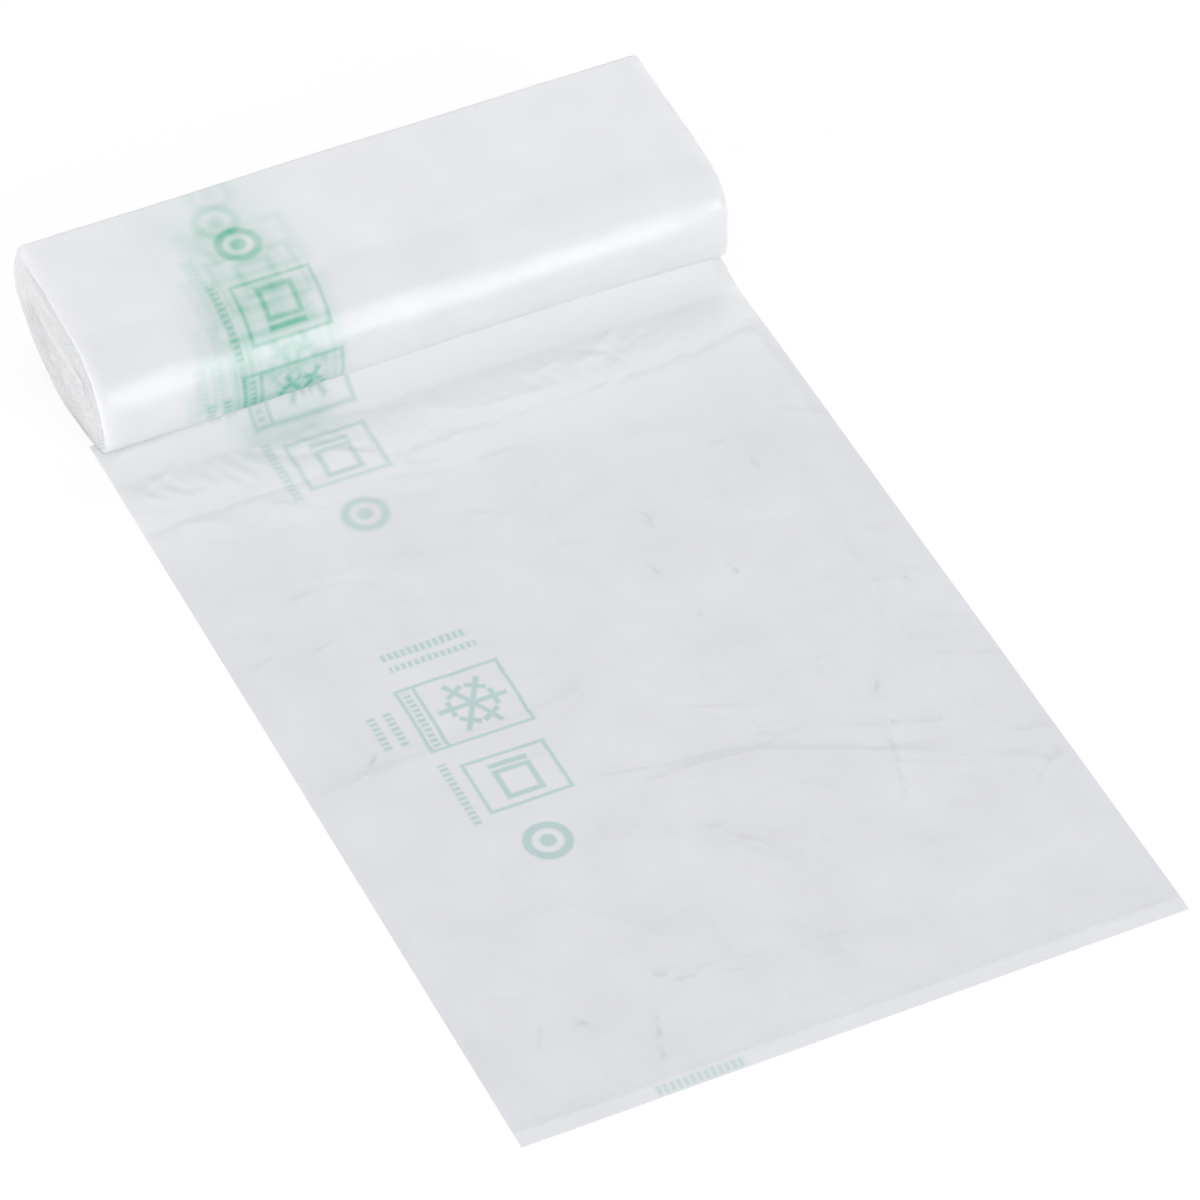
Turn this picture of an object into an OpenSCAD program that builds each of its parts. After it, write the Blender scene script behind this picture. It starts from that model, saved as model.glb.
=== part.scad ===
// Roll of flat freezer bags. A lay-flat film tube is wound without a core, and the roll lies squashed to a
// soft pillow shape. The first bag is pulled out from under the roll and lies flat in front of it.
// X runs along the roll, +Y from the free end to the back of the roll, +Z up, and Z = 0 is the ground.

/* [Film] */
// Width of the flattened tube, which is the width of a bag
film_w = 220; // [150:5:350]
// Thickness drawn for the film that lies flat
film_t = 0.5; // [0.4:0.1:1.5]
// Height of the soft ripples in the flat film
ripple_h = 0.3; // [0.1:0.05:1]
// Length of one ripple
ripple_l = 38; // [20:1:80]

/* [Bags] */
// Length of one bag, from its free end to its perforation
bag_l = 301; // [200:1:500]
// How far the next bag is pulled out of the roll
next_out = 7.2; // [7:0.2:60]
// Distance of the bottom weld from the end of a bag
weld_in = 5.6; // [3:0.2:6]
// Width of the weld
weld_w = 1.2; // [0.6:0.1:2.4]
// Height of the weld's ridge over the film
weld_h = 0.2; // [0.1:0.05:0.5]
// Distance from one perforation slot to the next
perf_pitch = 7; // [5:0.5:15]
// Film left between two perforation slots
perf_bridge = 2.5; // [1:0.5:4]
// Width of a perforation slot
perf_w = 0.5; // [0.3:0.1:1.2]

/* [Roll] */
// Depth of the roll, front to back
roll_d = 75.8; // [60:0.2:120]
// Height of the back corner, before it is rounded
back_h = 42.1; // [36:0.1:60]
// Height of the front corner, before it is rounded
front_h = 37.8; // [32:0.1:50]
// How far the top corner at the back leans forward
back_lean = 4.3; // [1:0.1:8]
// Rounding of the top corner at the back
back_r = 2.5; // [2:0.5:8]
// Height at which the back starts to lean forward
spine_h = 28; // [24:0.5:32]
// Rounding of the back at that height
spine_r = 14; // [5:1:30]
// Rounding of the top corner at the front
front_r = 24; // [6:1:30]
// How far the top corner at the front leans back
front_lean = 15.5; // [6:0.5:20]
// Height of the foremost line as a share of the front corner's height
belly_share = 0.36; // [0.3:0.01:0.5]
// Height of the upright stretch of the front
belly_flat = 11.5; // [6:0.5:14]
// Rounding of the front above and below that stretch
belly_r = 14; // [5:1:30]
// How far the front tucks in towards the flat film
toe_in = 8; // [4:0.2:15]
// Rounding where the front tucks in
toe_r = 4.5; // [1:0.5:8]
// Height at which the back starts to round under
under_h = 19.5; // [12:0.5:28]
// Height of the corner between the back and the underside
heel_h = 6.8; // [3:0.2:10]
// Distance of that corner from the back
heel_in = 15.3; // [8:0.1:22]
// Distance from the back at which the roll lifts off the ground
lift_in = 33.8; // [25:0.2:40]
// Rounding of the back below its upright stretch
heel_r = 10; // [3:1:20]
// Rounding where the roll lifts off the ground
lift_r = 30; // [5:1:60]

/* [Turns] */
// Distance from one drawn turn to the next
turn_pitch = 2.2; // [1.6:0.1:4]
// Width of the gap between two drawn turns
turn_gap = 0.7; // [0.4:0.1:1]
// Depth of that gap in the ends of the roll
turn_depth = 1.5; // [0.5:0.1:4]
// Share of the winding that is left plain round its centre
eye_share = 0.12; // [0.08:0.01:0.3]

/* [Print] */
// Height of the printed marks over the film
ink_h = 0.15; // [0.1:0.05:0.4]
// Width of a printed line
line_w = 1; // [0.6:0.1:1.5]
// Distance of the first ring from the free end
print_in = 105.6; // [60:0.2:150]
// Distance from one group of marks to the next
print_gap = 151; // [110:1:220]
// How far each group lies further to the right than the last
print_shift = 7; // [0:0.5:12]
// Distance of the first ring's centre from the left edge of the film
print_edge = 58.5; // [40:0.5:80]
// Radius of a ring
ring_r = 8; // [5:0.5:9]
// Radius of the dot inside a ring
dot_r = 3; // [1:0.5:3.5]
// How far the frames reach to the right of a ring's centre
frame_right = 17; // [15:0.5:26]
// Width and length of the small frame
small_frame = [28, 22.6]; // [18:0.2:32]
// Distance of the small frame from a ring's centre
small_from = 16.9; // [14:0.1:20]
// Width and length of the large frame
large_frame = [35, 29]; // [28:0.5:38]
// Distance of the large frame from a ring's centre
large_from = 47.6; // [46:0.1:54]
// Length of a row of printed dashes
row_l = 29; // [20:1:36]
// Height of the dashes in a row
row_h = 2.6; // [1.5:0.1:4]
// Distance from one row to the next
row_step = 6; // [4:0.5:9]
// Distance of the roll's own ring from the roll's front
top_ring_in = 42; // [38:0.5:52]
// Distance of the roll's small frame from the roll's front
top_frame_in = 7.5; // [5:0.5:10]
// Share of its length that this frame has in plan, because it lies over the slope of the front
top_frame_lean = 0.79; // [0.7:0.01:1]
// Height at which the large frame goes over the front of the roll
front_frame_h = 21.5; // [12:0.5:24]

/* [Hidden] */
$fn = 48;
pulled_l = bag_l + next_out;
whole_l = pulled_l + roll_d;
end_y = -whole_l / 2;
front_y = end_y + pulled_l;
left_x = -film_w / 2;
ring_x = left_x + print_edge;
eye_front = [front_h, front_h] / 2;
eye_back = [roll_d - back_h / 2, back_h / 2];
turn_step = turn_pitch / eye_front.y;
gap_share = turn_gap / eye_front.y;
turns = (1 - eye_share) / turn_step - 0.5;
arc_step = 12;
ripple_steps = 8;
bites = 2 * ink_h;
film_colour = [0.87, 0.88, 0.9];
ink_colour = [0.45, 0.75, 0.66];

// Corners of the roll's section, counter-clockwise, each as [distance from the front, height, rounding]
section = [
    [roll_d - lift_in, 0, lift_r],
    [roll_d - heel_in, heel_h, heel_r],
    [roll_d, under_h, heel_r],
    [roll_d, spine_h, spine_r],
    [roll_d - back_lean, back_h, back_r],
    [front_lean, front_h, front_r],
    [0, belly_share * front_h + belly_flat / 2, belly_r],
    [0, belly_share * front_h - belly_flat / 2, belly_r],
    [toe_in, 0, toe_r]
];

function unit(v) = v / norm(v);
function flat(v) = [v[0], v[1]];

// Arc that rounds the corner b between its neighbours a and c, moved outwards by grow
function rounded(a, b, c, r, grow) =
    let (
        to_a = unit(a - b),
        to_c = unit(c - b),
        half = acos(to_a * to_c) / 2,
        room = min(norm(a - b), norm(c - b)) / 2,
        arc_r = min(r, room * tan(half)),
        centre = b + unit(to_a + to_c) * arc_r / sin(half),
        first = b + to_a * arc_r / tan(half) - centre,
        from = atan2(first.y, first.x),
        turned = 180 - 2 * half,
        steps = max(2, round(turned / arc_step))
    )
    [for (i = [0:steps])
        let (angle = from + turned * i / steps)
        centre + (arc_r + grow) * [cos(angle), sin(angle)]];

// Outline of the roll's section
function outline(grow = 0) =
    let (n = len(section))
    [for (i = [0:n - 1])
        each rounded(
            flat(section[(i + n - 1) % n]), flat(section[i]), flat(section[(i + 1) % n]),
            section[i][2], grow
        )];

// Point of the winding between its flat centre, at share 0, and the outline, at share 1
function wound(p, share) =
    let (
        along = eye_back - eye_front,
        k = max(0, min(1, (p - eye_front) * along / (along * along))),
        centre = eye_front + k * along
    )
    centre + (p - centre) * share;

// One side of the gap between the turns, which starts where the flat film leaves the roll
function turn_side(edge, side) =
    let (n = len(edge))
    [for (i = [0:floor(turns * n)])
        wound(edge[i % n], 1 - turn_step * (0.5 + i / n) + side * gap_share / 2)];

function reversed(v) = [for (i = [len(v) - 1:-1:0]) v[i]];

// Height of the flat film's upper side at a distance from the free end
function film_top(s) =
    film_t + ripple_h / 4 * (1 - cos(360 * s / ripple_l)) * (1 + cos(150 * s / ripple_l));

// Sets a section, drawn as distance and height, up across the film's whole width
module across(w = film_w, y = front_y) {
    translate([-w / 2, y, 0]) rotate([90, 0, 90]) linear_extrude(w) children();
}

module wound_body(grow = 0) {
    across() polygon(outline(grow));
}

// The film in front of the roll and under it, with its upper side raised by grow
module flat_film(grow = 0) {
    under_roll = pulled_l + roll_d - lift_in;
    step = ripple_l / ripple_steps;
    tops = [for (s = [0:step:pulled_l + toe_in]) [s, film_top(s) + grow]];
    across(y = end_y) polygon([
        [0, 0], each tops, [under_roll, film_t], [under_roll, 0]
    ]);
}

// Gap between the turns, cut into one end of the roll
module turn_cut() {
    edge = outline();
    polygon([each turn_side(edge, 1), each reversed(turn_side(edge, -1))]);
}

module turn_gaps() {
    for (side = [-1, 1])
        translate([side * (film_w / 2 - turn_depth / 2), 0, 0])
            intersection() {
                across(w = 2 * turn_depth) turn_cut();
                across(w = turn_depth + bites) square([roll_d, max(back_h, front_h)]);
            }
}

// Weld across the bottom of each bag that lies in front of the roll
module welds() {
    for (s = [weld_in, bag_l + weld_in])
        intersection() {
            flat_film(weld_h);
            translate([left_x, end_y + s - weld_w / 2, film_t / 2])
                cube([film_w, weld_w, film_t + ripple_h + weld_h]);
        }
}

// Row of slots along which the first bag tears off
module perforation() {
    slots = floor((film_w - perf_bridge) / perf_pitch);
    slot_l = perf_pitch - perf_bridge;
    for (i = [0:slots - 1])
        translate([(i - (slots - 1) / 2) * perf_pitch - slot_l / 2, end_y + bag_l - perf_w / 2, -bites])
            cube([slot_l, perf_w, film_t + ripple_h + ink_h + 2 * bites]);
}

module ring_mark() {
    difference() {
        circle(ring_r);
        circle(ring_r - 2 * line_w);
    }
    circle(dot_r);
}

module frame_mark(size) {
    difference() {
        square(size);
        translate([line_w, line_w]) square(size - 2 * [line_w, line_w]);
    }
}

module snow_mark(r) {
    for (angle = [0:60:120])
        rotate(angle) square([2 * r, line_w], center = true);
    for (angle = [0:60:300])
        rotate(angle) translate([0.6 * r, 0]) square([line_w, 0.5 * r], center = true);
}

module dash_row(length, count) {
    pitch = length / count;
    for (i = [0:count - 1])
        translate([i * pitch, 0]) square([0.7 * pitch, row_h]);
}

// Small frame with a plain pouch in it, its left lower corner at the origin
module small_mark() {
    frame_mark(small_frame);
    translate(small_frame * 0.3) frame_mark(small_frame * 0.4);
    translate([small_frame.x * 0.3, small_frame.y * 0.78]) square([small_frame.x * 0.4, line_w]);
}

// Large frame with a snow star and a bar in it, its left lower corner at the origin
module large_mark() {
    bar = large_frame.x / 5;
    frame_mark(large_frame);
    square([bar, large_frame.y]);
    translate([(large_frame.x + bar) / 2, large_frame.y / 2]) snow_mark(0.36 * large_frame.y);
}

// One group of marks, with its ring's centre at the origin and the roll towards +Y
module print_group() {
    ring_mark();
    translate([frame_right - small_frame.x, small_from]) small_mark();
    translate([frame_right - large_frame.x, large_from]) large_mark();
    rows_from = large_from + large_frame.y + row_step;
    for (i = [0:1])
        translate([frame_right - large_frame.x, rows_from + i * row_step]) dash_row(row_l, 9 - i);
    translate([frame_right - small_frame.x - row_step, small_from]) rotate(90)
        dash_row(small_frame.y, 7);
    for (i = [1:2])
        translate([frame_right - large_frame.x - i * row_step, large_from + row_step]) rotate(90)
            dash_row(large_frame.y / 2, 4);
}

// Marks on the flat film, as many groups as lie in front of the roll, and a last row at the free end
module flat_print() {
    intersection() {
        flat_film(ink_h);
        translate([0, end_y, film_t / 2]) linear_extrude(film_t + ripple_h + ink_h)
            intersection() {
                union() {
                    for (i = [0:floor((pulled_l - print_in) / print_gap)])
                        translate([ring_x + i * print_shift, print_in + i * print_gap]) print_group();
                    translate([ring_x + frame_right - large_frame.x, line_w]) dash_row(row_l, 9);
                }
                translate([left_x, 0]) square([film_w, pulled_l + toe_in]);
            }
    }
}

// Marks on the outermost turn: the ring and the small frame on top, the large frame down the front
module roll_print() {
    intersection() {
        wound_body(ink_h);
        union() {
            translate([ring_x + print_shift, front_y, front_h * belly_share]) linear_extrude(back_h) {
                translate([0, top_ring_in]) ring_mark();
                translate([frame_right - small_frame.x, top_frame_in]) scale([1, top_frame_lean]) {
                    small_mark();
                    translate([-row_step, 0]) rotate(90) dash_row(small_frame.y, 7);
                }
            }
            translate([ring_x + print_shift + frame_right - large_frame.x, front_y + toe_in, front_frame_h])
                rotate([90, 0, 0]) linear_extrude(2 * toe_in) mirror([0, 1])
                    intersection() {
                        large_mark();
                        square([large_frame.x, front_frame_h - 2 * film_t]);
                    }
        }
    }
}

module bag_roll() {
    color(film_colour) difference() {
        union() {
            wound_body();
            flat_film();
            welds();
        }
        turn_gaps();
        perforation();
    }
    color(ink_colour) {
        flat_print();
        roll_print();
    }
}

bag_roll();
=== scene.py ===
# %% [markdown]
# # A roll of flat freezer bags
#
# Blown polythene film leaves the extruder as one long flattened tube. Welds and perforations turn it into a
# chain of bags, and the chain is wound without a core. The soft roll then lies squashed, like a small pillow,
# and its first bag is pulled out from under it. This lesson models the two things that the eye tells apart:
# the wound roll, and the limp sheet that lies in front of it. Both are one film and get the same finish.

# %% Load the fixed frame
import math
import random

import bmesh
import bpy
import numpy as np
from mathutils import Matrix, Vector, noise


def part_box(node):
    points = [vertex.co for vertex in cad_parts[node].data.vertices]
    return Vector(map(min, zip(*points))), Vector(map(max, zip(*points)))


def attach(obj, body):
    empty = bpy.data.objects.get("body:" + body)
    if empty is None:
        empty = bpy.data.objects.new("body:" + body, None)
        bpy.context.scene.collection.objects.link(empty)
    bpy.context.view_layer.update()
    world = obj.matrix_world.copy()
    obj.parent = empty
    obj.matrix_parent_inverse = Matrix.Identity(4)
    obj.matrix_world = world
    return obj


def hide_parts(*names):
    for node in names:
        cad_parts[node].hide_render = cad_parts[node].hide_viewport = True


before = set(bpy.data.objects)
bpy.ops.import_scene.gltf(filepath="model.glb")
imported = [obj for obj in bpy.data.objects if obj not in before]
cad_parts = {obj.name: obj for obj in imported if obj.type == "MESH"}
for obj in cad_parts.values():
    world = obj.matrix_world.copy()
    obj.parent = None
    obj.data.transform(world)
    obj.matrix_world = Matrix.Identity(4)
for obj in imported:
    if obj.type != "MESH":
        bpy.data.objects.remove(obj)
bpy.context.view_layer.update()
low, high = (Vector(corner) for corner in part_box("bag_roll"))
print("frame box in mm:", [round(size * 1000, 1) for size in high - low])

# %% [markdown]
# ## Sizes
#
# Everything is worked out from the frame's box and from a few sizes of the real roll. Lengths are written in
# millimetres, as a maker would say them, and turned into metres by one factor. A place on the film is
# measured along it: from the free end of the bag, and on the roll from the line where it meets the flat
# film.

# %% Sizes of the roll and its film
MM = 0.001
FILM_W = high.x - low.x
ROLL_D = 75.8 * MM
BACK_H = 41.2 * MM
FREE_Y = low.y
ROLL_Y = high.y - ROLL_D
PULLED_L = ROLL_Y - FREE_Y
BAG_L = 301.0 * MM
WELD_IN = 5.6 * MM
print("film in front of the roll, mm:", round(PULLED_L / MM, 1))

# %% [markdown]
# ## The camera
#
# The photograph looks down on the roll from the left with a long lens, so that edges stay almost parallel.
# A camera is easiest to place by what it looks at: a point on the ground, an azimuth, an elevation and a
# distance. The last turn, about the line of sight, is the slight tilt of the hand that held it.

# %% Camera at the photograph's angle
AIM = Vector((7.2, -0.2, 0)) * MM
AZIMUTH, ELEVATION, TILT = -26.31, 45.02, 0.92
DISTANCE = 2177 * MM
LENS, SENSOR = 210, 36

turn = (Matrix.Rotation(math.radians(AZIMUTH), 4, "Z")
        @ Matrix.Rotation(math.radians(90 - ELEVATION), 4, "X"))
bpy.ops.object.camera_add()
camera = bpy.context.object
camera.name = "camera"
camera.data.lens = LENS
camera.data.sensor_width = SENSOR
camera.matrix_world = (Matrix.Translation(AIM) @ turn @ Matrix.Translation((0, 0, DISTANCE))
                       @ Matrix.Rotation(math.radians(TILT), 4, "Z"))
bpy.context.scene.camera = camera
print("camera stands at", [round(value, 3) for value in camera.matrix_world.translation])

# %% [markdown]
# ## Helpers for modelling
#
# Operators work on whatever is selected, so each step first clears the selection and then picks its own edges
# and faces by their place. These few helpers do that, and print what a piece is made of.

# %% Selection and report helpers
def start_fresh():
    """Leaves nothing selected, so that an operator can't reach the frame's nodes."""
    if bpy.context.mode != "OBJECT":
        bpy.ops.object.mode_set(mode="OBJECT")
    bpy.ops.object.select_all(action="DESELECT")


def pick(obj, mode, test):
    """In edit mode, selects the faces or edges that pass the test, and returns how many did."""
    bpy.ops.mesh.select_mode(type=mode)
    bpy.ops.mesh.select_all(action="DESELECT")
    mesh = bmesh.from_edit_mesh(obj.data)
    parts = mesh.faces if mode == "FACE" else mesh.edges
    chosen = [part for part in parts if test(part)]
    for part in chosen:
        part.select_set(True)
    mesh.select_flush_mode()
    bmesh.update_edit_mesh(obj.data)
    return len(chosen)


def report(obj):
    """Prints what a piece is made of so far."""
    obj.update_from_editmode()
    size = [round(value / MM, 1) for value in obj.dimensions]
    print(obj.name, "faces:", len(obj.data.polygons), "size in mm:", size)


# %% [markdown]
# ## The wound roll
#
# The section of the roll is a block with its corners pressed round, so the block comes first. A cube gets the
# roll's depth and height, and seven straight cuts take off what the pressing took: the top falls towards the
# front, the front leans back above and tucks in below, and the back leans in above and rounds under. `bisect`
# cuts like a wire through clay and closes the cut again. Each corner below has its depth from the roll's
# front, its height and its radius.

# %% Block cut to the roll's nine corners
CORNERS = {
    "lift": (ROLL_D - 33.8 * MM, 0, 30 * MM),
    "heel": (ROLL_D - 15.3 * MM, 6.8 * MM, 10 * MM),
    "under": (ROLL_D, 19.5 * MM, 10 * MM),
    "spine": (ROLL_D, 28.0 * MM, 14 * MM),
    "back": (ROLL_D - 4.3 * MM, BACK_H, 2.5 * MM),
    "front": (15.6 * MM, 38.3 * MM, 26 * MM),
    "belly": (0, 22.8 * MM, 26 * MM),
    "chin": (0.8 * MM, 8.5 * MM, 9 * MM),
    "toe": (8.0 * MM, 0, 4.5 * MM),
}
CUTS = [("spine", "back"), ("back", "front"), ("front", "belly"), ("belly", "chin"), ("chin", "toe"),
        ("lift", "heel"), ("heel", "under")]


def corner_point(name):
    """A corner of the section, set at its place in the frame, at mid width."""
    along, height, _ = CORNERS[name]
    return Vector((0, ROLL_Y + along, height))


start_fresh()
bpy.ops.mesh.primitive_cube_add(size=1, location=(0, ROLL_Y + ROLL_D / 2, BACK_H / 2))
roll = bpy.context.object
roll.name = "film_roll"
roll.scale = (FILM_W, ROLL_D, BACK_H)
bpy.ops.object.transform_apply(location=True, rotation=True, scale=True)

bpy.ops.object.mode_set(mode="EDIT")
middle = Vector((0, ROLL_Y + ROLL_D / 2, BACK_H / 2))
for first, second in CUTS:
    a, b = corner_point(first), corner_point(second)
    outward = (b - a).cross(Vector((1, 0, 0))).normalized()
    if outward.dot(a - middle) < 0:
        outward.negate()
    bpy.ops.mesh.select_all(action="SELECT")
    bpy.ops.mesh.bisect(plane_co=a, plane_no=outward, use_fill=True, clear_outer=True)
report(roll)

# %% [markdown]
# Each long edge is then bevelled by itself, because each corner has its own rounding. A bevel's offset is
# measured along the faces, so the radius is turned into an offset with the tangent of half the turn. It takes
# at most a set share of the shorter face beside it, so that two neighbours leave room for each other.

# %% Round every long edge by its own radius
BEVEL_STEP = math.radians(6)
BEVEL_SHARE = 0.75


def runs_along_x(edge):
    """True for an edge that runs along the roll."""
    a, b = (vertex.co for vertex in edge.verts)
    return abs(a.x - b.x) > 0.5 * FILM_W


names = list(CORNERS)
for index, name in enumerate(names):
    here = corner_point(name)
    before = corner_point(names[index - 1]) - here
    after = corner_point(names[(index + 1) % len(names)]) - here
    turned = math.pi - before.angle(after)
    room = BEVEL_SHARE * min(before.length, after.length)
    offset = min(CORNERS[name][2] * math.tan(turned / 2), room)
    pick(roll, "EDGE", lambda edge: runs_along_x(edge) and all(
        (Vector((0, vertex.co.y, vertex.co.z)) - here).length < 0.2 * MM for vertex in edge.verts))
    bpy.ops.mesh.bevel(offset=offset, segments=max(3, round(turned / BEVEL_STEP)), profile=0.5)
report(roll)

# %% [markdown]
# ## The wound ends
#
# From the side a roll shows its turns. Each turn here is a short step in from the last: the end face is
# extruded and shrunk towards the middle, which draws the edge of one turn, then pushed in, shrunk and pulled
# out again, which draws the gap to the next. Shrinking by the same length in depth and in height, and not by
# the same factor, leaves a slit in the middle, as in a real roll that was squashed flat. The real film is
# 0.04 mm thick and far too fine to show, so one drawn turn stands for about twenty real ones.

# %% Turns drawn into both ends
TURN_PITCH = 0.95 * MM
GAP_SHARE = 0.3
TURN_COUNT = 19
LAND_STAGGER = 0.35 * MM
GAP_DEPTH = 0.28 * MM
GAP_WALL, GAP_FLOOR = 0.1 * GAP_SHARE * TURN_PITCH, 0.8 * GAP_SHARE * TURN_PITCH
EYE = Vector((0, ROLL_Y + ROLL_D / 2, 0.5 * BACK_H))


def shrink_factors(size_before, step):
    """Factors that take step off each side of the face being drawn."""
    return (1, (size_before.x - 2 * step) / size_before.x, (size_before.y - 2 * step) / size_before.y)


def draw_ring(size, step, push, side):
    """Extrudes the selected end face, moves it along the roll and shrinks it. Returns the new size."""
    bpy.ops.mesh.extrude_region()
    centre = EYE + Vector((side * FILM_W / 2, 0, 0))
    if push:
        bpy.ops.transform.translate(value=(side * push, 0, 0))
    if step:
        bpy.ops.transform.resize(value=shrink_factors(size, step), center_override=centre)
        size = size - 2 * Vector((step, step))
    return size


def draw_turns(side, stagger):
    """Draws every turn on one end, each a little further in or out than its neighbour."""
    pick(roll, "FACE", lambda face: abs(face.normal.x - side) < 0.01)
    size = Vector((ROLL_D, BACK_H))
    out = 0.0
    for _ in range(TURN_COUNT):
        level = -LAND_STAGGER * stagger.random()
        size = draw_ring(size, (1 - GAP_SHARE) * TURN_PITCH, 0, side)
        size = draw_ring(size, GAP_WALL, -GAP_DEPTH, side)
        size = draw_ring(size, GAP_FLOOR, 0, side)
        size = draw_ring(size, GAP_WALL, GAP_DEPTH + level - out, side)
        out = level


for side in (-1, 1):
    draw_turns(side, random.Random(11 + side))
report(roll)

# %% [markdown]
# ## Rows for the soft shape
#
# So far each side of the roll is one long strip. Film shows soft waves, so the strips are divided, first
# around the section and then along the roll, into cells of about two millimetres that can be moved.

# %% Divide the strips into cells
ROW = 2.2 * MM
ROWS_ALONG = 110


def is_section_edge(edge, side):
    """True for an edge of the section's outline at one end that is longer than a cell."""
    a, b = (vertex.co for vertex in edge.verts)
    at_end = all(abs(point.x - side * FILM_W / 2) < 1e-6 for point in (a, b))
    return at_end and any(face.normal.x ** 2 < 0.1 and len(face.verts) == 4 for face in edge.link_faces)


lengths = set()
mesh = bmesh.from_edit_mesh(roll.data)
for edge in mesh.edges:
    if is_section_edge(edge, 1) and edge.calc_length() > 1.5 * ROW:
        lengths.add(round(edge.calc_length(), 5))
for length in sorted(lengths):
    pick(roll, "EDGE", lambda edge: abs(edge.calc_length() - length) < 2e-5 and (
        is_section_edge(edge, 1) or is_section_edge(edge, -1)))
    bpy.ops.mesh.subdivide(number_cuts=max(1, round(length / ROW) - 1))
pick(roll, "EDGE", runs_along_x)
bpy.ops.mesh.subdivide(number_cuts=ROWS_ALONG)
bpy.ops.object.mode_set(mode="OBJECT")
report(roll)

# %% [markdown]
# ## A place on the film
#
# The print follows the film round the roll, so every point of the roll needs its place on the film: how far
# along the roll it lies, and how far up the film from the line where the roll meets the flat sheet. That is a
# UV map in real lengths. It is made before the waves are, while all rows still share one outline.

# %% Film coordinates of the roll
outline_x = min((abs(vertex.co.x), vertex.co.x) for vertex in roll.data.vertices)[1]
outline = [(vertex.co.y, vertex.co.z) for vertex in roll.data.vertices
           if abs(vertex.co.x - outline_x) < 1e-6]
toe = corner_point("toe")


def turned_from_toe(point):
    """Angle of an outline point about the roll's middle, clockwise from the toe."""
    start = math.atan2(toe.z - EYE.z, toe.y - EYE.y)
    return (start - math.atan2(point[1] - EYE.z, point[0] - EYE.y)) % math.tau


outline.sort(key=turned_from_toe)
path = {}
walked = 0.0
for index, point in enumerate(outline):
    if index:
        walked += math.dist(point, outline[index - 1])
    path[point] = walked
ROUND_L = walked + math.dist(outline[-1], outline[0])
print("film once round the roll, mm:", round(ROUND_L / MM, 1))


def film_path(point):
    """Distance up the film of the outline point that is nearest to a point of the roll."""
    key = min(outline, key=lambda other: (other[0] - point.y) ** 2 + (other[1] - point.z) ** 2)
    return path[key], math.dist(key, (point.y, point.z))


roll_places = []
seen = {}
for vertex in roll.data.vertices:
    key = (round(vertex.co.y, 6), round(vertex.co.z, 6))
    if key not in seen:
        seen[key] = film_path(vertex.co)
    roll_places.append(seen[key])

film_uv = roll.data.uv_layers.new(name="film")
for face in roll.data.polygons:
    along = [roll_places[index][0] for index in face.vertices]
    if max(along) - min(along) > ROUND_L / 2:
        along = [value + ROUND_L if value < ROUND_L / 2 else value for value in along]
    for loop_index, vertex_index, value in zip(face.loop_indices, face.vertices, along):
        film_uv.data[loop_index].uv = (roll.data.vertices[vertex_index].co.x, value)

# %% [markdown]
# ## Soft waves
#
# Film is never quite flat. The wound turns give the top a slight swell, and short waves on the shoulder break
# up the edge of the highlight. The right end is pinched: its shoulder stands out squarer than in the middle
# of the roll. The lower front is drawn in a little where the flat film leaves the roll, most of all right of
# the middle, and the back sinks towards the left end. The ends are crumpled, and their rims are soft and
# uneven. All of it is one moving of points, by noise and by smooth bells along the film.

# %% Waves on the roll and crumples in its ends
SWELL, SWELL_L = 0.45 * MM, 60 * MM
SHOULDER, SHOULDER_REACH, SHOULDER_OUT = 36 * MM, 11 * MM, 4.2 * MM
PINCHED_L, PINCH_FULL = 16 * MM, 24 * MM
WAVES_AT, WAVES_REACH, WAVE_DEPTH, WAVE_ACROSS = 42 * MM, 18 * MM, 0.42 * MM, 7 * MM
CRINKLE, CRINKLE_L = 0.1 * MM, 5 * MM
CRUMPLE, CRUMPLE_L = 2.2 * MM, 9 * MM
WANDER, WANDER_L = 0.5 * MM, 6 * MM
RIM_IN, RIM_DOWN, RIM_WAVE_L = 0.55 * MM, 0.2 * MM, 11 * MM
RIM_UNEVEN = {-1: 1.6 * MM, 1: 0.7 * MM}
TOE_INSET, TOE_REACH, TOE_LENGTH = 1.8 * MM, 14 * MM, 12 * MM
BACK_SINK = 2.2 * MM
ROUND_OVER, ROUND_OVER_L = 0.4 * MM, 4 * MM
TUCKED = [(-110, 0.5), (-60, 0.8), (0, 2.6), (60, 3.6), (92, 3.0), (110, 1.2)]
TUCK_REACH = 13 * MM
BEDDED = 4 * MM


def smooth_noise(point, length, seed=0.0):
    """Noise from -1 to 1 that changes over the given length."""
    return noise.noise(Vector(point) / length + Vector((seed, seed, 0)))


def bell(value, middle, reach):
    """1 at the middle, falling smoothly to 0 over the reach."""
    return math.exp(-((value - middle) / reach) ** 2)


def tucked_in(x):
    """How far the roll's lower front is drawn in at a place along the roll, in metres."""
    return float(np.interp(x / MM, *zip(*TUCKED))) * MM


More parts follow.
